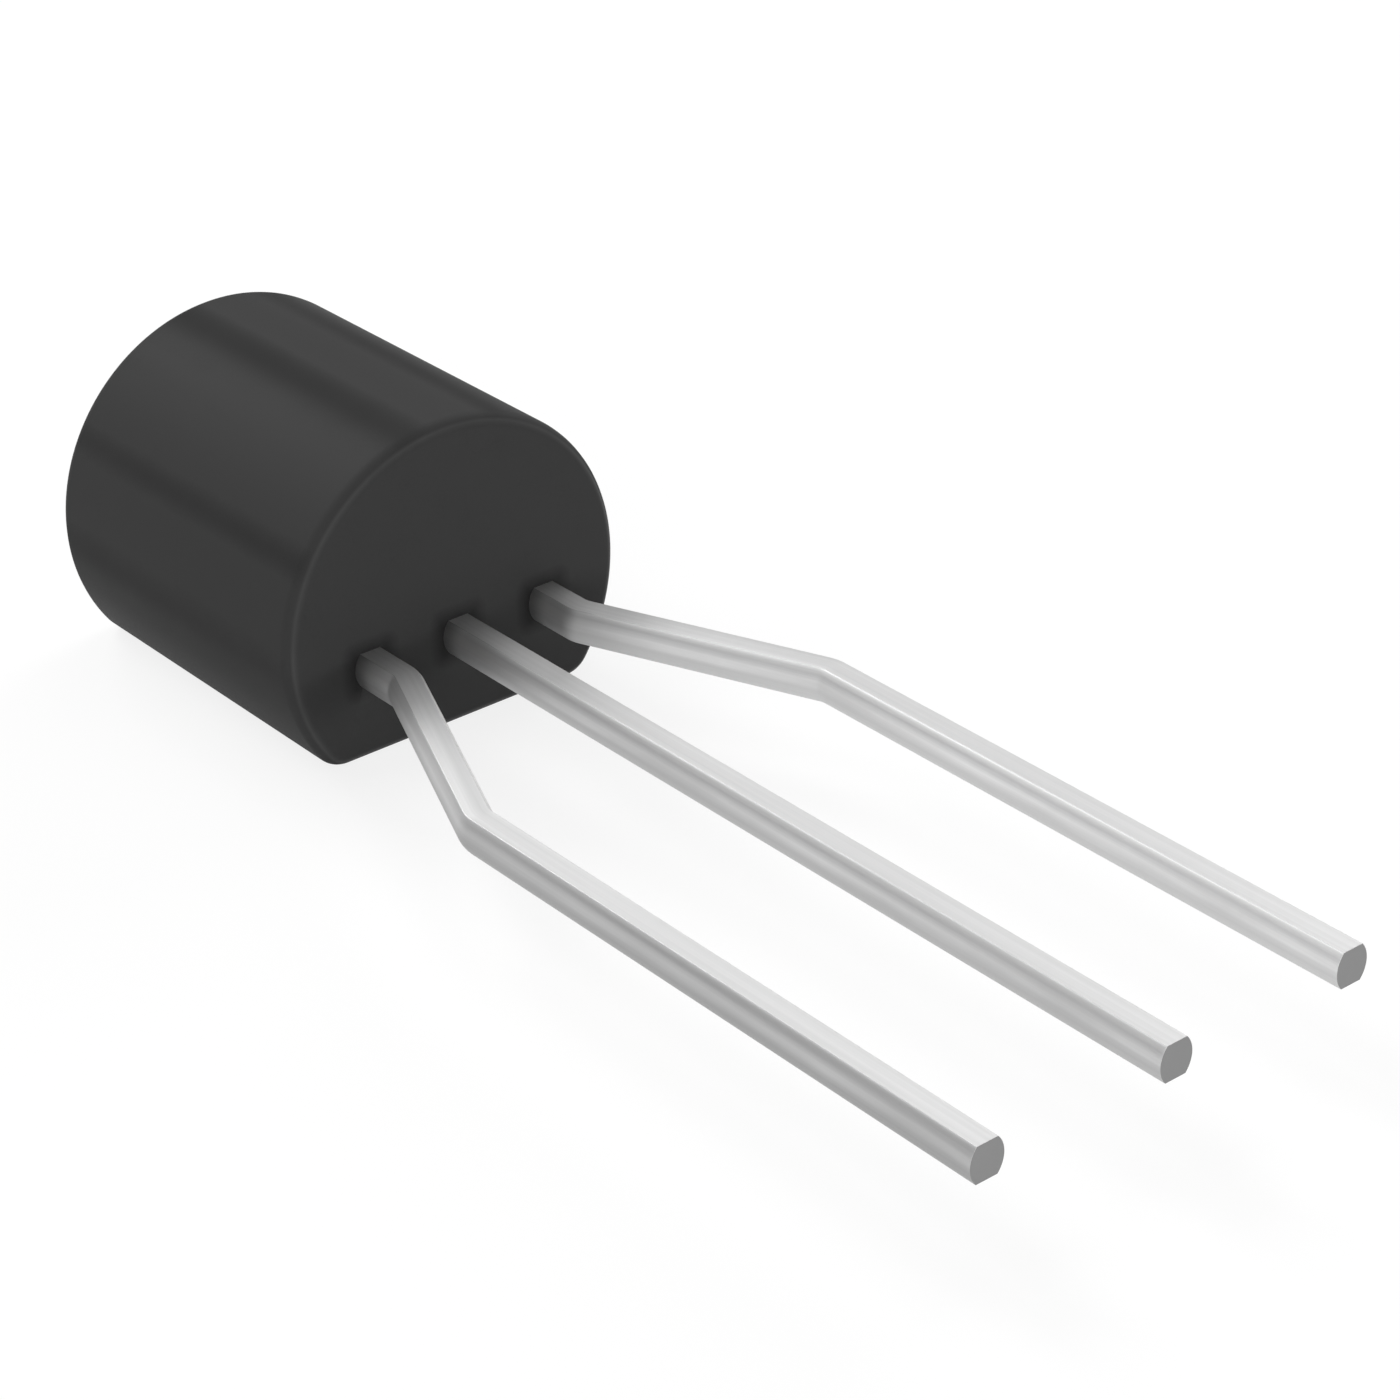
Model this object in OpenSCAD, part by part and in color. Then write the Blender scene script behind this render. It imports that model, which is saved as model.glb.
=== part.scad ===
// Small-signal transistor in a D-section moulded body with three formed legs.
// The flat of the body rests on z = 0 and its centre is the origin.
// The legs point towards -Y and lie side by side along X. Sizes are in millimetres.

/* [Moulded body] */
// Diameter of the round side
body_d = 4.80; // [4.40:0.05:5.20]
// Depth from the flat to the crown of the round side
body_depth = 3.96; // [3.60:0.02:4.20]
// Height of the body along the legs
body_h = 4.96; // [4.40:0.02:5.30]
// Radius where the flat turns into the round side
corner_r = 0.40; // [0.24:0.02:0.50]
// Radius around the edge of both end faces
end_r = 0.18; // [0.05:0.01:0.20]

/* [Legs] */
// Width of a leg across its crowned sides
leg_w = 0.45; // [0.40:0.01:0.53]
// How far each side of a leg bulges past its flat top and bottom
leg_crown = 0.085; // [0.03:0.005:0.12]
// Length of the legs outside the body
leg_len = 11.75; // [8.00:0.05:14.50]
// Spacing of the legs where they leave the body
pitch_body = 1.27; // [1.15:0.01:1.39]
// Spacing of the legs at their tips
pitch_tip = 2.54; // [2.00:0.01:2.80]
// Distance from the body to the corner of the first bend
bend_near = 0.70; // [0.50:0.01:1.20]
// Distance from the body to the corner of the second bend
bend_far = 3.77; // [3.00:0.01:5.00]
// Inside radius of the bends
bend_r = 0.15; // [0.05:0.01:0.40]

/* [Lead frame] */
// Thickness of the stamped sheet
frame_t = 0.44; // [0.36:0.01:0.46]
// Height of the middle of the sheet above the flat
frame_z = 1.21; // [0.90:0.01:1.40]
// Length of crowned leg that is buried in the moulding
leg_grip = 0.50; // [0.30:0.01:0.70]
// Width of the stem between a leg and its head
stem_w = 0.50; // [0.45:0.01:0.55]
// How far the crowned end of a leg runs into its stem
stem_lap = 0.10; // [0.05:0.01:0.20]
// Width of the die flag at the head of the middle leg
flag_w = 1.60; // [1.20:0.02:1.70]
// Length of the die flag
flag_len = 1.70; // [1.20:0.02:1.90]
// Distance from the lead face to the die flag
flag_y = 1.75; // [1.50:0.01:1.90]
// Width of the bond post at the head of an outer leg
post_w = 0.75; // [0.55:0.01:0.85]
// Length of the bond post
post_len = 0.95; // [0.70:0.01:1.20]
// Sideways gap between the die flag and a bond post
post_gap = 0.25; // [0.20:0.01:0.35]
// Radius of the locking notches in the sides of the stems
notch_r = 0.09; // [0.05:0.01:0.12]
// Corner radius of the flag and the posts
stamp_r = 0.12; // [0.05:0.01:0.20]

/* [Die and bond wires] */
// Side of the square die
die_w = 0.46; // [0.30:0.01:0.80]
// Thickness of the die
die_t = 0.22; // [0.15:0.01:0.30]
// Distance of each bond pad from the middle of the die
pad_x = 0.11; // [0.06:0.01:0.14]
// Diameter of the bond wire
wire_d = 0.05; // [0.03:0.005:0.06]
// Height of the wire loop above the die
loop_h = 0.32; // [0.25:0.01:0.50]
// Radius of the curves at both ends of the loop
loop_r = 0.16; // [0.10:0.01:0.20]
// Diameter of the squashed ball at each end of a wire
ball_d = 0.11; // [0.08:0.01:0.12]
// Thickness of the squashed ball
ball_t = 0.03; // [0.02:0.01:0.05]

/* [Hidden] */
$fn = 96;
// Steps around each crowned side of a leg and along each bend
crown_steps = 8;
bend_steps = 6;
// Body section: the round side's centre and the centres of the two corner arcs
body_r = body_d / 2;
axis_z = body_depth - body_r;
corner_x = sqrt(pow(body_r - corner_r, 2) - pow(axis_z - corner_r, 2));
corner_a = atan2(corner_r - axis_z, corner_x);
blend_lap = 0.001;
// The face that the legs leave through
face_y = -body_h / 2;
tip_y = face_y - leg_len;
// Leg section: radius of the crowned sides and half the angle that each spans
crown_r = (pow(frame_t / 2, 2) + pow(leg_crown, 2)) / (2 * leg_crown);
crown_a = asin(frame_t / 2 / crown_r);
// Bends of the outer legs
bend_a = atan2(pitch_tip - pitch_body, bend_far - bend_near);
bend_mid_r = bend_r + leg_w / 2;
bend_cut = bend_mid_r * tan(bend_a / 2);
// Lead frame heads
leg_end_y = face_y + leg_grip;
stem_y = leg_end_y - stem_lap;
flag_front_y = face_y + flag_y;
post_x = flag_w / 2 + post_gap + post_w / 2;
flag_mid_y = flag_front_y + flag_len / 2;
post_front_y = flag_mid_y - post_len / 2;
notch_y = (stem_y + flag_front_y) / 2;
frame_top = frame_z + frame_t / 2;
// Bond wires
die_top = frame_top + die_t;
loop_top = die_top + loop_h;

// Half disc of radius r on the +X side of its centre, which rounds an end edge
module edge_round(r) {
    intersection() {
        circle(r);
        translate([0, -2 * r])
            square(4 * r);
    }
}

// Half section of a turned piece of radius r and height h with both end edges rounded
module rounded_half_section(r, h, edge_r) {
    translate([0, -h / 2])
        square([r - edge_r, h]);
    translate([0, -h / 2 + edge_r])
        square([r, h - 2 * edge_r]);
    for (side = [-1, 1])
        translate([r - edge_r, side * (h / 2 - edge_r)])
            edge_round(edge_r);
}

// Side view of the flat with both end edges rounded, open towards the round side
module rounded_flat_section() {
    translate([-body_h / 2 + end_r, 0])
        square([body_h - 2 * end_r, end_r]);
    translate([-body_h / 2, end_r])
        square([body_h, body_d]);
    for (side = [-1, 1])
        translate([side * (body_h / 2 - end_r), end_r])
            circle(end_r);
}

// What is cut off the sharp corner on the +X side to leave its rounded shape. The rounded
// shape stands blend_lap proud, so that it crosses the faces that it blends into.
module corner_waste() {
    translate([corner_x, 0, corner_r])
        rotate([90, 0, 0])
            difference() {
                linear_extrude(2 * body_h, center = true)
                    polygon([[0, 0], body_r * [cos(corner_a), sin(corner_a)],
                             [body_r, -body_r], [0, -body_r]]);
                rotate_extrude()
                    rounded_half_section(corner_r + blend_lap, body_h + 2 * blend_lap,
                                         end_r + blend_lap);
            }
}

// D-section block with rounded corners and end edges, before the lead frame is let in
module body_block() {
    difference() {
        intersection() {
            translate([0, 0, axis_z])
                rotate([90, 0, 0])
                    rotate_extrude()
                        rounded_half_section(body_r, body_h, end_r);
            rotate([90, 0, 90])
                linear_extrude(2 * body_d, center = true)
                    rounded_flat_section();
        }
        corner_waste();
        mirror([1, 0, 0])
            corner_waste();
    }
}

// Points around the section of a leg, down its +X side and up its -X side
function leg_outline() = [
    for (side = [1, -1], i = [0 : crown_steps])
        let (a = crown_a * (1 - 2 * i / crown_steps))
            side * [leg_w / 2 - crown_r * (1 - cos(a)), crown_r * sin(a)]
];

// Stations [x, y, heading] down the middle of an outer leg, from its buried end to its tip
function leg_stations() = [
    [pitch_body, leg_end_y, 0],
    for (i = [0 : bend_steps])
        let (a = bend_a * i / bend_steps)
            [pitch_body + bend_mid_r * (1 - cos(a)),
             face_y - bend_near + bend_cut - bend_mid_r * sin(a), a],
    for (i = [bend_steps : -1 : 0])
        let (a = bend_a * i / bend_steps)
            [pitch_tip - bend_mid_r * (1 - cos(a)),
             face_y - bend_far - bend_cut + bend_mid_r * sin(a), a],
    [pitch_tip, tip_y, 0]
];

module middle_leg() {
    translate([0, leg_end_y, frame_z])
        rotate([90, 0, 0])
            linear_extrude(leg_end_y - tip_y)
                polygon(leg_outline());
}

// Outer leg on the +X side: out of the body, outwards, then parallel again
module outer_leg() {
    ring = leg_outline();
    n = len(ring);
    stations = leg_stations();
    last = len(stations) - 1;
    polyhedron(
        points = [
            for (s = stations, p = ring)
                [s[0] + p[0] * cos(s[2]), s[1] + p[0] * sin(s[2]), frame_z + p[1]]
        ],
        faces = [
            [for (j = [n - 1 : -1 : 0]) j],
            for (k = [0 : last - 1], j = [0 : n - 1])
                [k * n + j, k * n + (j + 1) % n, (k + 1) * n + (j + 1) % n, (k + 1) * n + j],
            [for (j = [0 : n - 1]) last * n + j]
        ]);
}

// Rectangle with rounded corners, centred across X and starting at y = 0
module stamping(w, len) {
    translate([-w / 2 + stamp_r, 0])
        square([w - 2 * stamp_r, len]);
    translate([-w / 2, stamp_r])
        square([w, len - 2 * stamp_r]);
    for (x = [-1, 1], y = [stamp_r, len - stamp_r])
        translate([x * (w / 2 - stamp_r), y])
            circle(stamp_r);
}

// Stem of the flat stamping with a locking notch in each side
module stem(len, notch) {
    difference() {
        translate([-stem_w / 2, 0])
            square([stem_w, len]);
        for (x = [-1, 1])
            translate([x * stem_w / 2, notch])
                circle(notch_r);
    }
}

module flag_stamping() {
    translate([0, 0, frame_z - frame_t / 2])
        linear_extrude(frame_t) {
            translate([0, stem_y])
                stem(flag_front_y - stem_y + stamp_r, notch_y - stem_y);
            translate([0, flag_front_y])
                stamping(flag_w, flag_len);
        }
}

module post_stamping() {
    translate([0, 0, frame_z - frame_t / 2])
        linear_extrude(frame_t) {
            translate([pitch_body, stem_y])
                stem(post_front_y - stem_y + stamp_r, notch_y - stem_y);
            translate([post_x, post_front_y])
                stamping(post_w, post_len);
        }
}

// Bond wire from a pad on the die to the post on the +X side
module wire_route() {
    run = post_x - pad_x;
    translate([pad_x, flag_mid_y, 0]) {
        for (end = [[0, die_top], [run, frame_top]])
            translate([end[0], 0, end[1]]) {
                cylinder(d = ball_d, h = ball_t);
                cylinder(d = wire_d, h = loop_top - loop_r - end[1]);
            }
        translate([loop_r, 0, loop_top - loop_r])
            rotate([90, 0, 0])
                rotate([0, 0, 90])
                    rotate_extrude(angle = 90)
                        translate([loop_r, 0])
                            circle(d = wire_d);
        translate([run - loop_r, 0, loop_top - loop_r])
            rotate([90, 0, 0])
                rotate_extrude(angle = 90)
                    translate([loop_r, 0])
                        circle(d = wire_d);
        translate([loop_r, 0, loop_top])
            rotate([0, 90, 0])
                cylinder(d = wire_d, h = run - 2 * loop_r);
    }
}

module collector_leg() {
    color([0.80, 0.80, 0.80]) {
        middle_leg();
        flag_stamping();
    }
}

module base_leg() {
    color([0.80, 0.80, 0.80]) {
        outer_leg();
        post_stamping();
    }
}

module emitter_leg() {
    mirror([1, 0, 0])
        base_leg();
}

module die() {
    color([0.35, 0.37, 0.42])
        translate([-die_w / 2, flag_mid_y - die_w / 2, frame_top])
            cube([die_w, die_w, die_t]);
}

module base_wire() {
    color([0.85, 0.68, 0.25])
        wire_route();
}

module emitter_wire() {
    mirror([1, 0, 0])
        base_wire();
}

module moulded_body() {
    color([0.20, 0.20, 0.20])
        difference() {
            body_block();
            collector_leg();
            emitter_leg();
            base_leg();
            die();
            emitter_wire();
            base_wire();
        }
}

moulded_body();
collector_leg();
emitter_leg();
base_leg();
die();
emitter_wire();
base_wire();
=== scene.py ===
"""Looks of a small-signal transistor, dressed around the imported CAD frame.

Metres, in the CAD's own frame: the flat of the moulding lies on z = 0 and the legs
point towards -Y. The casting and the three stamped leads are finer meshes of the same
forms as their CAD nodes. The die and the bond wires inside are the CAD nodes themselves.
"""

import math

import bmesh
import bpy
from mathutils import Matrix, Vector


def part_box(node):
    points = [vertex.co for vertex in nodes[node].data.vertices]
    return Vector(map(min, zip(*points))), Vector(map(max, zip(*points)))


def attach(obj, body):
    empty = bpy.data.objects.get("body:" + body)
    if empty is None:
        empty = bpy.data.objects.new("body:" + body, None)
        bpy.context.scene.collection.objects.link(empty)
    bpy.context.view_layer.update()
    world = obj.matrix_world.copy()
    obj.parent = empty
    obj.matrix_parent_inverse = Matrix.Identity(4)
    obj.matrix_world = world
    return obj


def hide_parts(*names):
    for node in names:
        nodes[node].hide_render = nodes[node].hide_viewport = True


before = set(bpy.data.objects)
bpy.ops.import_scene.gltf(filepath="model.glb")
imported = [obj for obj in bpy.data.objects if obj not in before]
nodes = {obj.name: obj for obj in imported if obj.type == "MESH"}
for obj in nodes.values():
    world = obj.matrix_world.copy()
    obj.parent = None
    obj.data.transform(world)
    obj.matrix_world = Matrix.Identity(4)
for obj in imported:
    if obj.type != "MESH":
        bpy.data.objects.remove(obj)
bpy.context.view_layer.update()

MM = 0.001
UM = 0.000001

# ---- Sizes that the frame gives ------------------------------------------------------
body_low, body_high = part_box("moulded_body")
outer_low, outer_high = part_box("base_leg")
flag_low, flag_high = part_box("collector_leg")

BODY_R = (body_high.x - body_low.x) / 2
AXIS_Z = body_high.z - BODY_R
FACE_Y = body_low.y
BACK_Y = body_high.y
TIP_Y = outer_low.y
LEG_Z = (outer_low.z + outer_high.z) / 2
LEG_T = outer_high.z - outer_low.z
FLAG_W = flag_high.x - flag_low.x
FLAG_BACK_Y = flag_high.y
POST_BACK_Y = outer_high.y

# ---- Sizes that the frame's boxes don't show -----------------------------------------
CORNER_R = 0.40 * MM
END_R = 0.18 * MM
LEG_W = 0.45 * MM
LEG_CROWN = 0.085 * MM
PITCH_BODY = 1.27 * MM
PITCH_TIP = outer_high.x - LEG_W / 2
BEND_NEAR = 0.70 * MM
BEND_FAR = 3.77 * MM
BEND_R = 0.15 * MM
LEG_GRIP = 0.50 * MM
STEM_W = 0.50 * MM
STEM_LAP = 0.10 * MM
FLAG_Y = FACE_Y + 1.75 * MM
POST_W = 0.75 * MM
POST_LEN = 0.95 * MM
POST_GAP = 0.25 * MM
NOTCH_R = 0.09 * MM
STAMP_R = 0.12 * MM
# Softening of the long edges of a leg and of its sheared end
EDGE_R = 0.007 * MM
SHEAR_R = 0.005 * MM

# ---- Mesh detail ---------------------------------------------------------------------
# Steps of the round forms
ROUND_STEPS = 160
CORNER_STEPS = 14
END_STEPS = 8
CROWN_STEPS = 20
EDGE_STEPS = 4
BEND_STEPS = 18
STAMP_STEPS = 8
SMOOTH_ANGLE = math.radians(32)
# Width of the flat ring that keeps a rolled edge apart from its end face
CAP_RIM = 0.04 * MM
# Vertices closer than this are one
WELD = 0.01 * UM

# ---- Finish of the casting -----------------------------------------------------------
COMPOUND_GREY = 0.051
COMPOUND_ROUGH = 0.60
COMPOUND_SPECULAR = 0.035
# Grains and blotches of the compound to the millimetre
COMPOUND_GRAINS = 34.0
COMPOUND_BLOTCHES = 1.6
# Painted reflections of bands along the round side: strength, changes to the millimetre, place in
# the noise
REFLECTION_BAND_STRENGTH = 1.15
REFLECTION_BAND_CHANGES = (1.0, 0.02, 1.0)
REFLECTION_BAND_OFFSET = (0.0, 706.7, 0.0)
# A rolled edge gets a painted highlight and is smoother where this share of its normal lies along
# Y, give or take
RIM_FACING = 0.84
RIM_SPREAD = 0.13
RIM_HIGHLIGHT_GREY = 0.10
RIM_SMOOTHER = 0.28
# The face that the leads leave through is where that share, with its sign, is below this
FACE_FACING = -0.5
# How far painted shade reaches on that face round a lead, and how much it darkens it
EXIT_SHADE_REACH = 0.20 * MM
EXIT_SHADE_DARK = 0.45

# ---- Finish of the leads -------------------------------------------------------------
PLATING_TONE = 0.72
PLATING_ROUGH = 0.48
PLATING_METALLIC = 0.8
# Changes of the fine and the broad rolling lines to the millimetre, along and round a lead
LINE_CHANGES = (0.15, 20.0, 1.0)
BROAD_CHANGES = (0.5, 3.0, 1.0)
PLATING_GRAINS = 45.0
# A lead is die-cut where less than this share of its normal lies along Z
CUT_SIDE_FACING = 0.8
# Heights between which a side's upper band with painted highlight gives way to its lower band with
# painted shade, and how far the boundary wanders
SIDE_UPPER_Z = LEG_Z + 0.12 * MM
SIDE_LOWER_Z = LEG_Z - 0.06 * MM
SIDE_BAND_WANDER = 0.06 * MM
# How much the upper band is brighter than the flats as a painted highlight, and the lower band
# darker as painted shade, and rougher
SIDE_UPPER_HIGHLIGHT = 0.08
SIDE_LOWER_SHADE = 0.32
SIDE_LOWER_ROUGHER = 0.10
# Painted light: how much the cut sides lighten with each millimetre towards +X
ACROSS_PAINTED_LIGHT = 0.08
# Painted shade on an edge, damping its highlight, where this share of its normal lies along Z,
# give or take, and how dark
EDGE_FACING = 0.84
EDGE_SPREAD = 0.14
EDGE_SHADE = 0.70
# How far painted shade from the moulding reaches along a lead, how much, and how much more on the
# cut sides
BODY_SHADE_REACH = 2.0 * MM
BODY_SHADE_DULL = 0.15
BODY_SHADE_SIDE_DULL = 0.23
# The same for deeper painted shade on the cut sides right at the face
ROOT_SHADE_REACH = 0.35 * MM
ROOT_SHADE_DULL = 0.50
# From here to its sheared tip a lead is bare
BARE_Y = TIP_Y + 0.25 * SHEAR_R
BARE_GREY = 0.285
BARE_ROUGH = 0.6

# ---- Finish of the die and the bond wires --------------------------------------------
# Two colours that blotches run between
SILICON_COLOURS = ((0.10, 0.11, 0.15, 1.0), (0.14, 0.14, 0.17, 1.0))
GOLD_COLOURS = ((0.78, 0.56, 0.18, 1.0), (0.90, 0.68, 0.26, 1.0))

# ---- Camera and light ----------------------------------------------------------------
# Side of the square photograph and focal length in its pixels, and a sensor's usual width
PHOTO_SIDE = 1400
FOCAL_PX = 3828.2
SENSOR = 36.0
CAMERA_AT = Vector((-23.127, -35.253, 22.539)) * MM
CAMERA_AZIMUTH = math.radians(-39.273)
CAMERA_ELEVATION = math.radians(29.117)
CAMERA_ROLL = math.radians(-0.932)
CAMERA_NEAREST = 1 * MM
CAMERA_FARTHEST = 10.0

# The floor's grey for light that bounces off it, and its own glow and grey for the camera
FLOOR_BOUNCE_GREY = 0.72
FLOOR_GLOW = 0.83
FLOOR_SEEN_GREY = 0.17
FLOOR_HALF = 2.0
WORLD_LEVEL = 0.15
LAMP_REACH = 0.5
# Name, azimuth, elevation, width, height and level of each soft box
SOFT_BOXES = (
    ("back_box", 0, 40, 0.24, 0.20, 7.6),
    ("back_left_box", -45, 55, 0.24, 0.24, 2.6),
    ("high_right_box", 55, 60, 0.26, 0.26, 1.6),
    ("right_box", 75, 22, 0.20, 0.22, 4.8),
    ("front_low_box", 166, 5, 0.50, 0.085, 3.8),
    ("left_front_box", -135, 20, 0.34, 0.26, 2.0),
)


# ---- Mesh tools ----------------------------------------------------------------------
def arc(centre, radius, start, end, steps):
    """Points on an arc in 2-D, both ends included. Angles are in radians."""
    return [
        (centre[0] + radius * math.cos(start + (end - start) * i / steps),
         centre[1] + radius * math.sin(start + (end - start) * i / steps))
        for i in range(steps + 1)
    ]


def loft(name, rings, uv_rings=None):
    """A closed mesh through rings of equal length, with a flat cap at both ends.

    uv_rings gives each ring's place along the run, and the points' places round it
    become the other coordinate, both in millimetres.
    """
    bm = bmesh.new()
    verts = [[bm.verts.new(point) for point in ring] for ring in rings]
    first = rings[0]
    count = len(first)
    layer = bm.loops.layers.uv.new("run") if uv_rings else None
    round_at = [0.0]
    for point, after in zip(first, first[1:] + first[:1]):
        round_at.append(round_at[-1] + math.dist(point, after) / MM)
    for k in range(len(rings) - 1):
        for j in range(count):
            corners = ((k, j), (k, j + 1), (k + 1, j + 1), (k + 1, j))
            face = bm.faces.new([verts[ring][point % count] for ring, point in corners])
            if layer:
                for loop, (ring, point) in zip(face.loops, corners):
                    loop[layer].uv = (uv_rings[ring] / MM, round_at[point])
    for ring in (verts[0], verts[-1]):
        face = bm.faces.new(ring)
        if layer:
            for loop in face.loops:
                loop[layer].uv = (loop.vert.co.x / MM, loop.vert.co.z / MM)
    return finish_mesh(name, bm)


def prism(name, outline, low_z, high_z):
    """A flat stamping: a 2-D outline in x and y between two heights."""
    return loft(name, [[(x, y, z) for x, y in outline] for z in (low_z, high_z)],
                [0.0, high_z - low_z])


def finish_mesh(name, bm):
    """Turns a bmesh into an object with its normals pointing out."""
    bmesh.ops.recalc_face_normals(bm, faces=bm.faces)
    mesh = bpy.data.meshes.new(name)
    bm.to_mesh(mesh)
    bm.free()
    obj = bpy.data.objects.new(name, mesh)
    bpy.context.scene.collection.objects.link(obj)
    return obj


def combine(obj, others, operation):
    """Applies an exact boolean of obj with each of the others, in turn."""
    for other in others:
        modifier = obj.modifiers.new("cut", "BOOLEAN")
        modifier.operation = operation
        modifier.solver = "EXACT"
        modifier.object = other
        graph = bpy.context.evaluated_depsgraph_get()
        mesh = bpy.data.meshes.new_from_object(obj.evaluated_get(graph))
        obj.modifiers.clear()
        obj.data = mesh


def discard(objects):
    """Takes helper objects out of the scene."""
    for obj in objects:
        bpy.data.objects.remove(obj)


def welded_copy(node):
    """A CAD node's mesh as one closed surface, for cutting with."""
    bm = bmesh.new()
    bm.from_mesh(node.data)
    bm.transform(node.matrix_world)
    bmesh.ops.remove_doubles(bm, verts=bm.verts, dist=WELD)
    return finish_mesh("cutter", bm)


def smooth(obj):
    """Smooth shading that keeps wide faces flat, and edges sharper than SMOOTH_ANGLE crisp."""
    obj.data.shade_smooth()
    obj.data.set_sharp_from_angle(angle=SMOOTH_ANGLE)
    weighted = obj.modifiers.new("flat_faces", "WEIGHTED_NORMAL")
    weighted.keep_sharp = True
    graph = bpy.context.evaluated_depsgraph_get()
    mesh = bpy.data.meshes.new_from_object(obj.evaluated_get(graph))
    obj.modifiers.clear()
    obj.data = mesh


# ---- Casting -------------------------------------------------------------------------
def d_outline(inset):
    """Points (x, z) round the D section, moved inwards by inset."""
    centre_x = math.sqrt((BODY_R - CORNER_R) ** 2 - (AXIS_Z - CORNER_R) ** 2)
    turn = math.atan2(CORNER_R - AXIS_Z, centre_x)
    corner_r = CORNER_R - inset
    half_turn = math.pi / 2
    right = arc((centre_x, CORNER_R), corner_r, -half_turn, turn, CORNER_STEPS)
    crown = arc((0, AXIS_Z), BODY_R - inset, turn, math.pi - turn, ROUND_STEPS)
    left = arc((-centre_x, CORNER_R), corner_r, math.pi - turn, 3 * half_turn, CORNER_STEPS)
    return right + crown[1:-1] + left


def casting_ring(y, inset):
    """The D section at a depth."""
    return [(x, y, z) for x, z in d_outline(inset)]


def make_casting(name):
    """The epoxy casting, solid before the lead frame is let in."""
    turns = [math.pi / 2 * i / END_STEPS for i in range(END_STEPS + 1)]
    roll = [(END_R * (1 - math.sin(a)), END_R * (1 - math.cos(a))) for a in turns]
    rings = [casting_ring(FACE_Y, END_R + CAP_RIM)]
    rings += [casting_ring(FACE_Y + depth, inset) for depth, inset in reversed(roll)]
    rings += [casting_ring(BACK_Y - depth, inset) for depth, inset in roll]
    rings.append(casting_ring(BACK_Y, END_R + CAP_RIM))
    return loft(name, rings)


# ---- Leads ---------------------------------------------------------------------------
def leg_outline(inset):
    """Points (across, up) round a leg: crowned sides, flat top and bottom, soft edges.

    They are moved inwards by inset, which stays under EDGE_R.
    """
    half_t = LEG_T / 2
    crown_r = (half_t ** 2 + LEG_CROWN ** 2) / (2 * LEG_CROWN)
    crown_x = LEG_W / 2 - crown_r
    edge_r = EDGE_R - inset
    edge_z = half_t - EDGE_R
    edge_x = crown_x + math.sqrt((crown_r - EDGE_R) ** 2 - edge_z ** 2)
    reach = math.atan2(edge_z, edge_x - crown_x)
    side = arc((edge_x, edge_z), edge_r, math.pi / 2, reach, EDGE_STEPS)
    side += arc((crown_x, 0), crown_r - inset, reach, -reach, CROWN_STEPS)[1:-1]
    side += arc((edge_x, -edge_z), edge_r, -reach, -math.pi / 2, EDGE_STEPS)
    return side + [(-x, -z) for x, z in side]


def leg_ring(x, y, heading, inset=0.0):
    """The leg's section at a station. Heading turns the run away from -Y, towards +X."""
    across = Vector((math.cos(heading), math.sin(heading), 0))
    return [Vector((x, y, LEG_Z)) + across * u + Vector((0, 0, v)) for u, v in leg_outline(inset)]


# A station is x and y of the middle of a leg, and its heading.
def middle_stations():
    """Straight out of the casting."""
    return [(0.0, FACE_Y + LEG_GRIP, 0.0), (0.0, TIP_Y + SHEAR_R, 0.0)]


def outer_stations():
    """The +X leg: out of the casting, outwards, then parallel again."""
    slope = math.atan2(PITCH_TIP - PITCH_BODY, BEND_FAR - BEND_NEAR)
    mid_r = BEND_R + LEG_W / 2
    cut = mid_r * math.tan(slope / 2)
    near_y = FACE_Y - BEND_NEAR + cut
    far_y = FACE_Y - BEND_FAR - cut
    turns = [slope * i / BEND_STEPS for i in range(BEND_STEPS + 1)]
    stations = [(PITCH_BODY, FACE_Y + LEG_GRIP, 0.0)]
    stations += [(PITCH_BODY + mid_r * (1 - math.cos(a)), near_y - mid_r * math.sin(a), a)
                 for a in turns]
    stations += [(PITCH_TIP - mid_r * (1 - math.cos(a)), far_y + mid_r * math.sin(a), a)
                 for a in reversed(turns)]
    return stations + [(PITCH_TIP, TIP_Y + SHEAR_R, 0.0)]


def make_leg(name, stations):
    """Crowned leg along its stations, with a sheared end."""
    rings = [leg_ring(*station) for station in stations]
    run = [0.0]
    for a, b in zip(stations, stations[1:]):
        run.append(run[-1] + math.dist(a[:2], b[:2]))
    x, y, heading = stations[-1]
    for i in range(1, EDGE_STEPS + 1):
        a = math.pi / 2 * i / EDGE_STEPS
        drop = SHEAR_R * math.sin(a)
        rings.append(leg_ring(x, y - drop, heading, SHEAR_R * (1 - math.cos(a))))
        run.append(run[len(stations) - 1] + drop)
    return loft(name, rings, run)


def stem_outline(x, end_y, notch_y):
    """Stem of the flat stamping, with a locking notch in each side."""
    start_y = FACE_Y + LEG_GRIP - STEM_LAP
    half = STEM_W / 2
    quarter = math.pi / 2
    right = arc((x + half, notch_y), NOTCH_R, -quarter, -3 * quarter, STAMP_STEPS * 2)
    left = arc((x - half, notch_y), NOTCH_R, quarter, -quarter, STAMP_STEPS * 2)
    return ([(x - half, start_y), (x + half, start_y)] + right
            + [(x + half, end_y), (x - half, end_y)] + left)


def head_outline(x, start_y, end_y, width):
    """Rounded rectangle of a die flag or a bond post."""
    reach = width / 2 - STAMP_R
    points = []
    for i, (cx, cy) in enumerate([(x + reach, start_y + STAMP_R), (x + reach, end_y - STAMP_R),
                                  (x - reach, end_y - STAMP_R), (x - reach, start_y + STAMP_R)]):
        start = math.pi / 2 * (i - 1)
        points += arc((cx, cy), STAMP_R, start, start + math.pi / 2, STAMP_STEPS)
    return points


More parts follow.
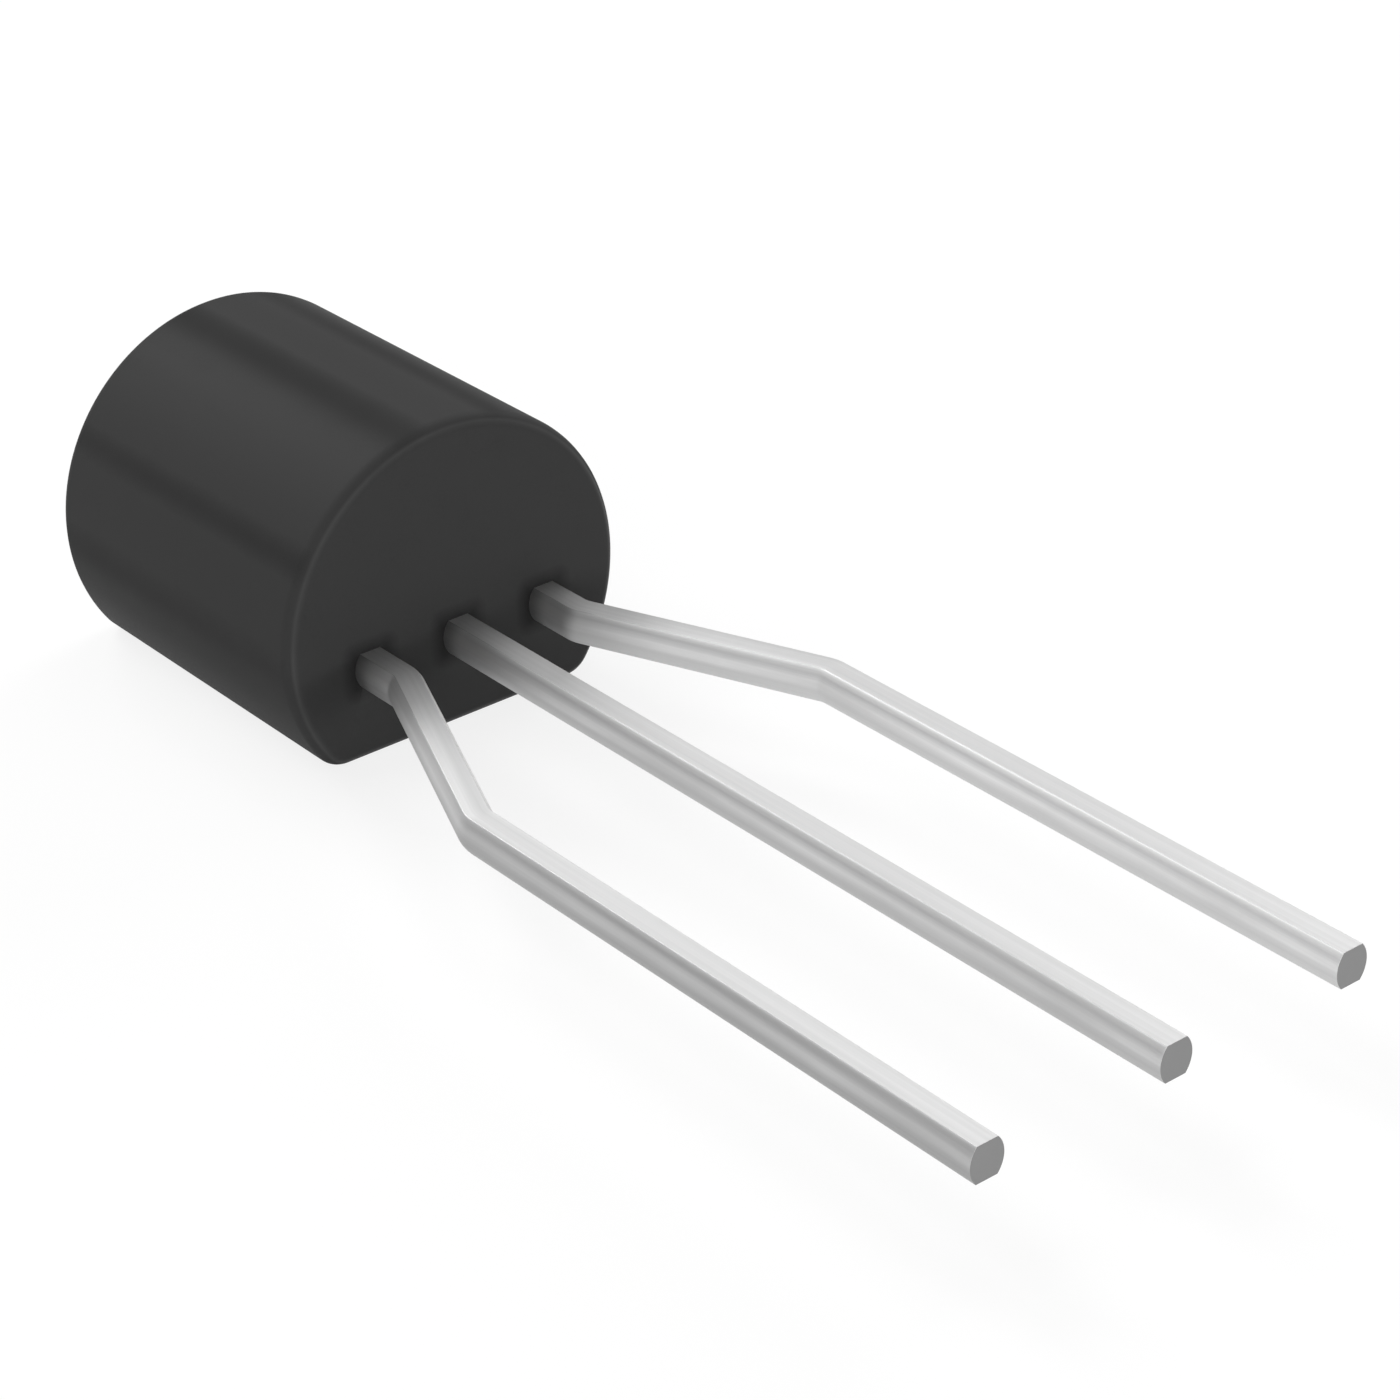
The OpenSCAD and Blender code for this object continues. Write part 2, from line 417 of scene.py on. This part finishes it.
def make_lead(name, stations, stem_x, head_x, head_w, head_start_y, head_end_y):
    """One stamping: leg, stem and head."""
    low_z, high_z = LEG_Z - LEG_T / 2, LEG_Z + LEG_T / 2
    notch_y = (FACE_Y + LEG_GRIP - STEM_LAP + FLAG_Y) / 2
    lead = make_leg(name, stations)
    stem = prism("stem", stem_outline(stem_x, head_start_y + STAMP_R, notch_y), low_z, high_z)
    head = prism("head", head_outline(head_x, head_start_y, head_end_y, head_w), low_z, high_z)
    combine(lead, (stem, head), "UNION")
    discard((stem, head))
    return lead


def mirrored(obj, name):
    """A copy of obj on the other side of x = 0."""
    mesh = obj.data.copy()
    mesh.transform(Matrix.Scale(-1, 4, Vector((1, 0, 0))))
    mesh.flip_normals()
    twin = bpy.data.objects.new(name, mesh)
    bpy.context.scene.collection.objects.link(twin)
    return twin


# ---- Material tools ------------------------------------------------------------------
class Nodes:
    """Short calls for building one material's node tree."""

    def __init__(self, name):
        """Starts a new material with nothing but its output."""
        self.material = bpy.data.materials.new(name)
        self.material.use_nodes = True
        self.tree = self.material.node_tree
        self.tree.nodes.clear()
        self.end = self.tree.nodes.new("ShaderNodeOutputMaterial")

    def add(self, kind, inputs=None, **settings):
        """A new node. Its inputs are links from other nodes or plain values."""
        node = self.tree.nodes.new("ShaderNode" + kind)
        for key, value in settings.items():
            setattr(node, key, value)
        for key, value in (inputs or {}).items():
            if isinstance(value, bpy.types.NodeSocket):
                self.tree.links.new(value, node.inputs[key])
            else:
                node.inputs[key].default_value = value
        return node

    def math(self, operation, a, b=0.0, c=0.0):
        """An operation of Blender's Math node."""
        return self.add("Math", {0: a, 1: b, 2: c}, operation=operation).outputs[0]

    def scaled(self, vector, factors):
        """Vector times a factor along each axis."""
        node = self.add("VectorMath", {0: vector, 1: factors}, operation="MULTIPLY")
        return node.outputs[0]

    def placed(self, vector, factors, offset):
        """Vector times a factor along each axis, then moved by offset."""
        node = self.add("VectorMath", {0: vector, 1: factors, 2: offset}, operation="MULTIPLY_ADD")
        return node.outputs[0]

    def noise(self, vector, scale=1.0, detail=2.0, roughness=0.5):
        """Noise from 0 to 1 that centres on a half."""
        node = self.add("TexNoise", {"Vector": vector, "Scale": scale, "Detail": detail,
                                     "Roughness": roughness})
        return node.outputs["Fac"]

    def spread(self, value, middle, amount):
        """Maps a 0 to 1 value to middle plus or minus amount."""
        return self.math("MULTIPLY_ADD", value, 2 * amount, middle - amount)

    def ramp(self, value, zero_at, one_at):
        """Rises smoothly from 0 at one value to 1 at another."""
        node = self.add("MapRange", {"Value": value, "From Min": zero_at, "From Max": one_at},
                        interpolation_type="SMOOTHSTEP")
        return node.outputs["Result"]

    def tent(self, value, peak, reach):
        """1 at the peak, falling to 0 at reach to either side of it."""
        away = self.math("ABSOLUTE", self.math("SUBTRACT", value, peak))
        return self.math("MAXIMUM", 0.0, self.math("MULTIPLY_ADD", away, -1 / reach, 1.0))

    def length(self, a, b):
        """Length of the 2-D vector (a, b)."""
        square = self.math("MULTIPLY_ADD", a, a, self.math("MULTIPLY", b, b))
        return self.math("SQRT", square)

    def dulled(self, tone, mask, amount):
        """Tone, less the given share of it where the mask is 1."""
        return self.math("MULTIPLY", tone, self.math("MULTIPLY_ADD", mask, -amount, 1.0))

    def mix(self, factor, a, b):
        """Colour between a and b. The factor counts as 1 where it is above 1."""
        return self.add("Mix", {0: factor, 6: a, 7: b}, data_type="RGBA").outputs[2]

    def millimetres(self):
        """Object coordinates in millimetres."""
        place = self.add("TexCoord").outputs["Object"]
        return self.scaled(place, (1 / MM, 1 / MM, 1 / MM))

    def bump(self, height, distance, strength, normal=None):
        """The normal over a height from 0 to 1, on top of another normal if one is given."""
        inputs = {"Height": height, "Distance": distance, "Strength": strength}
        if normal:
            inputs["Normal"] = normal
        return self.add("Bump", inputs).outputs["Normal"]

    def surface(self, shader):
        """Ends the tree with a shader and gives the material."""
        self.tree.links.new(shader, self.end.inputs["Surface"])
        return self.material


def grey(level):
    """A neutral colour."""
    return (level, level, level, 1.0)


def compound_material():
    """Filled black epoxy, matt from the mould, with painted reflections of bands along its round
    side.

    The rolled edges at both ends are a little smoother and carry a painted highlight, and
    painted shade darkens the face round each lead.
    """
    n = Nodes("moulding_compound_finish")
    place = n.millimetres()
    facing = n.add("SeparateXYZ", {0: n.add("TexCoord").outputs["Normal"]}).outputs[1]
    toward = n.math("ABSOLUTE", facing)
    round_side = n.math("SUBTRACT", 1.0, toward)
    rim = n.tent(toward, RIM_FACING, RIM_SPREAD)
    grain = n.noise(place, COMPOUND_GRAINS, detail=3.0, roughness=0.65)
    mottle = n.noise(place, COMPOUND_BLOTCHES)
    # Painted reflections of bands along the round side, a little smoother where they lie
    reflection_band = n.noise(n.placed(place, REFLECTION_BAND_CHANGES, REFLECTION_BAND_OFFSET), detail=1.0)
    reflection_band = n.math("MULTIPLY", n.spread(reflection_band, 0.0, REFLECTION_BAND_STRENGTH), round_side)
    x, y, z = n.add("SeparateXYZ", {0: place}).outputs
    x = n.math("ABSOLUTE", x)
    outer = n.math("ABSOLUTE", n.math("SUBTRACT", x, PITCH_BODY / MM))
    beside = n.math("SUBTRACT", n.math("MINIMUM", x, outer), LEG_W / 2 / MM)
    above = n.math("ABSOLUTE", n.math("SUBTRACT", z, LEG_Z / MM))
    above = n.math("SUBTRACT", above, LEG_T / 2 / MM)
    gap = n.length(n.math("MAXIMUM", beside, 0.0), n.math("MAXIMUM", above, 0.0))
    on_face = n.math("LESS_THAN", facing, FACE_FACING)
    # Painted shade on the face round each lead
    exit_shade = n.math("MULTIPLY", n.tent(gap, 0.0, EXIT_SHADE_REACH / MM), on_face)
    tone = n.math("MULTIPLY", n.spread(grain, 1.0, 0.10), n.spread(mottle, 1.0, 0.06))
    tone = n.math("MULTIPLY", tone, n.math("ADD", reflection_band, 1.0))
    tone = n.dulled(tone, exit_shade, EXIT_SHADE_DARK)
    colour = n.mix(tone, grey(0.0), grey(COMPOUND_GREY))
    # Painted highlight along the rolled edges
    rim_highlight = n.math("MULTIPLY", rim, n.spread(mottle, 0.40, 0.15))
    colour = n.mix(rim_highlight, colour, grey(RIM_HIGHLIGHT_GREY))
    rough = n.spread(grain, COMPOUND_ROUGH, 0.05)
    rough = n.math("MULTIPLY_ADD", reflection_band, -0.10, rough)
    rough = n.math("MULTIPLY_ADD", rim, -RIM_SMOOTHER, rough)
    normal = n.bump(grain, 2.0 * UM, 0.35)
    shader = n.add("BsdfPrincipled", {"Base Color": colour, "Roughness": rough, "Normal": normal,
                                      "Specular IOR Level": COMPOUND_SPECULAR})
    return n.surface(shader.outputs[0])


def lead_material():
    """Dull tin plating with rolling lines along the lead.

    The die-cut sides are lighter than the flats in an upper band, a painted highlight, and
    darker and rougher in a lower band, painted shade, and painted light lightens them from
    lead to lead towards +X. Painted shade damps the highlight along the edges. Painted shade
    darkens a lead towards the moulding, most on the sides. The end cut off after plating is bare.
    """
    n = Nodes("tin_plated_lead_finish")
    place = n.millimetres()
    run = n.add("UVMap", uv_map="run").outputs[0]
    lines = n.noise(n.scaled(run, LINE_CHANGES), detail=3.0, roughness=0.6)
    broad = n.noise(n.scaled(run, BROAD_CHANGES))
    grain = n.noise(place, PLATING_GRAINS)
    facing = n.add("SeparateXYZ", {0: n.add("TexCoord").outputs["Normal"]}).outputs[2]
    facing = n.math("ABSOLUTE", facing)
    cut_side = n.math("LESS_THAN", facing, CUT_SIDE_FACING)
    x, y, z = n.add("SeparateXYZ", {0: place}).outputs
    wander = n.spread(broad, 0.0, SIDE_BAND_WANDER / MM)
    lower_side = n.ramp(n.math("ADD", z, wander), SIDE_UPPER_Z / MM, SIDE_LOWER_Z / MM)
    edge = n.tent(facing, EDGE_FACING, EDGE_SPREAD)
    body_shade = n.ramp(y, (FACE_Y - BODY_SHADE_REACH) / MM, FACE_Y / MM)
    root_shade = n.ramp(y, (FACE_Y - ROOT_SHADE_REACH) / MM, FACE_Y / MM)
    root_shade = n.math("MULTIPLY", cut_side, root_shade)
    bare = n.math("LESS_THAN", y, BARE_Y / MM)
    tone = n.math("MULTIPLY", n.spread(lines, PLATING_TONE, 0.09), n.spread(broad, 1.0, 0.03))
    # Painted highlight in a side's upper band, painted shade in its lower band
    side_shade = n.math("MULTIPLY_ADD", lower_side, SIDE_LOWER_SHADE, -SIDE_UPPER_HIGHLIGHT)
    tone = n.dulled(tone, n.math("MULTIPLY", cut_side, side_shade), 1.0)
    # Painted light, lighter sides from lead to lead towards +X
    tone = n.dulled(tone, n.math("MULTIPLY", cut_side, x), -ACROSS_PAINTED_LIGHT)
    # Painted shade along the edges, damping their highlight
    tone = n.dulled(tone, edge, EDGE_SHADE)
    # Painted shade towards the moulding, deeper on the sides
    body_shade_depth = n.math("MULTIPLY_ADD", cut_side, BODY_SHADE_SIDE_DULL, BODY_SHADE_DULL)
    tone = n.dulled(tone, n.math("MULTIPLY", body_shade, body_shade_depth), 1.0)
    # Deeper painted shade on the sides right at the face
    tone = n.dulled(tone, root_shade, ROOT_SHADE_DULL)
    plated = n.mix(tone, grey(0.0), grey(1.0))
    colour = n.mix(bare, plated, grey(BARE_GREY))
    rough = n.math("ADD", n.spread(lines, PLATING_ROUGH, 0.05), n.spread(grain, 0.0, 0.03))
    rough = n.math("MULTIPLY_ADD", n.math("MULTIPLY", cut_side, lower_side), SIDE_LOWER_ROUGHER, rough)
    rough = n.math("MAXIMUM", rough, n.math("MULTIPLY", bare, BARE_ROUGH))
    fine = n.bump(grain, 0.6 * UM, 0.3)
    normal = n.bump(lines, 1.6 * UM, 0.4, fine)
    shader = n.add("BsdfPrincipled", {"Base Color": colour, "Roughness": rough, "Normal": normal,
                                      "Metallic": PLATING_METALLIC})
    return n.surface(shader.outputs[0])


def silicon_material():
    """Polished silicon with the faint colour cast of its oxide."""
    n = Nodes("silicon_finish")
    place = n.millimetres()
    cast = n.noise(place, 6.0)
    colour = n.mix(cast, *SILICON_COLOURS)
    normal = n.bump(n.noise(place, 60.0), 0.3 * UM, 0.2)
    shader = n.add("BsdfPrincipled", {"Base Color": colour, "Normal": normal,
                                      "Roughness": n.spread(cast, 0.22, 0.06)})
    return n.surface(shader.outputs[0])


def gold_material():
    """Drawn gold wire."""
    n = Nodes("gold_wire_finish")
    drawn = n.noise(n.millimetres(), 80.0)
    colour = n.mix(drawn, *GOLD_COLOURS)
    normal = n.bump(drawn, 0.4 * UM, 0.2)
    shader = n.add("BsdfPrincipled", {"Base Color": colour, "Normal": normal, "Metallic": 1.0,
                                      "Roughness": n.spread(drawn, 0.25, 0.06)})
    return n.surface(shader.outputs[0])


def floor_material():
    """Pale floor. The camera and reflections see it as white, with the soft shadow kept."""
    n = Nodes("floor_finish")
    path = n.add("LightPath").outputs
    seen = n.math("MAXIMUM", path["Is Camera Ray"], path["Is Glossy Ray"])
    seen = n.math("MAXIMUM", seen, path["Is Transmission Ray"])
    plain = n.add("BsdfDiffuse", {"Color": grey(FLOOR_BOUNCE_GREY)}).outputs[0]
    glow = n.add("Emission", {"Color": grey(1.0), "Strength": FLOOR_GLOW}).outputs[0]
    shade = n.add("BsdfDiffuse", {"Color": grey(FLOOR_SEEN_GREY)}).outputs[0]
    white = n.add("AddShader", {0: glow, 1: shade}).outputs[0]
    n.material.cycles.emission_sampling = "NONE"
    return n.surface(n.add("MixShader", {0: seen, 1: plain, 2: white}).outputs[0])


# ---- Stage ---------------------------------------------------------------------------
def make_floor():
    """A wide square at z = 0."""
    bm = bmesh.new()
    signs = ((-1, -1), (1, -1), (1, 1), (-1, 1))
    bm.faces.new([bm.verts.new((x * FLOOR_HALF, y * FLOOR_HALF, 0)) for x, y in signs])
    floor = finish_mesh("floor", bm)
    floor.data.materials.append(floor_material())


def make_world():
    """The same faint light from every side."""
    world = bpy.data.worlds.new("studio")
    world.use_nodes = True
    back = world.node_tree.nodes["Background"]
    back.inputs["Color"].default_value = grey(1.0)
    back.inputs["Strength"].default_value = WORLD_LEVEL
    bpy.context.scene.world = world


def soft_box(name, azimuth, elevation, width, height, level):
    """A square-on area lamp aimed at the part. Azimuth turns from +Y towards +X, in degrees.

    Level is the brightness of its face.
    """
    lamp = bpy.data.lights.new(name, "AREA")
    lamp.shape = "RECTANGLE"
    lamp.size = width
    lamp.size_y = height
    lamp.energy = 4 * width * height * level
    turn = math.radians(azimuth)
    lift = math.radians(elevation)
    away = Vector((math.sin(turn) * math.cos(lift), math.cos(turn) * math.cos(lift),
                   math.sin(lift)))
    obj = bpy.data.objects.new(name, lamp)
    obj.location = away * LAMP_REACH
    obj.rotation_euler = away.to_track_quat("Z", "Y").to_euler()
    bpy.context.scene.collection.objects.link(obj)


def make_camera():
    """The photograph's camera, with its focal length in pixels of the square picture."""
    data = bpy.data.cameras.new("camera")
    data.sensor_width = SENSOR
    data.lens = FOCAL_PX / PHOTO_SIDE * SENSOR
    data.clip_start = CAMERA_NEAREST
    data.clip_end = CAMERA_FARTHEST
    camera = bpy.data.objects.new("camera", data)
    spin = Matrix.Rotation(CAMERA_AZIMUTH, 4, "Z")
    tilt = Matrix.Rotation(math.pi / 2 - CAMERA_ELEVATION, 4, "X")
    roll = Matrix.Rotation(CAMERA_ROLL, 4, "Z")
    camera.matrix_world = Matrix.Translation(CAMERA_AT) @ spin @ tilt @ roll
    bpy.context.scene.collection.objects.link(camera)
    bpy.context.scene.camera = camera


# ---- Putting it together -------------------------------------------------------------
make_camera()
make_world()
make_floor()

post_x = FLAG_W / 2 + POST_GAP + POST_W / 2
collector = make_lead("collector_lead", middle_stations(), 0.0, 0.0, FLAG_W, FLAG_Y, FLAG_BACK_Y)
base = make_lead("base_lead", outer_stations(), PITCH_BODY, post_x, POST_W,
                 POST_BACK_Y - POST_LEN, POST_BACK_Y)
emitter = mirrored(base, "emitter_lead")
casting = make_casting("casting")
insides = [welded_copy(nodes[n]) for n in ("die", "base_wire", "emitter_wire")]
combine(casting, [collector, base, emitter] + insides, "DIFFERENCE")
discard(insides)

compound = compound_material()
tin = lead_material()
for piece, node, material, slot in (
        (casting, "moulded_body", compound, "moulding_compound"),
        (collector, "collector_leg", tin, "tin_plated_lead"),
        (base, "base_leg", tin, "tin_plated_lead"),
        (emitter, "emitter_leg", tin, "tin_plated_lead")):
    piece.data.materials.clear()
    piece.data.materials.append(material)
    smooth(piece)
    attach(piece, "root")
    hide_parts(node)

silicon = silicon_material()
gold = gold_material()
for node, material in (("die", silicon), ("base_wire", gold), ("emitter_wire", gold)):
    for held in nodes[node].material_slots:
        held.material = material

for lamp in SOFT_BOXES:
    soft_box(*lamp)

bpy.context.scene.view_settings.view_transform = "Standard"
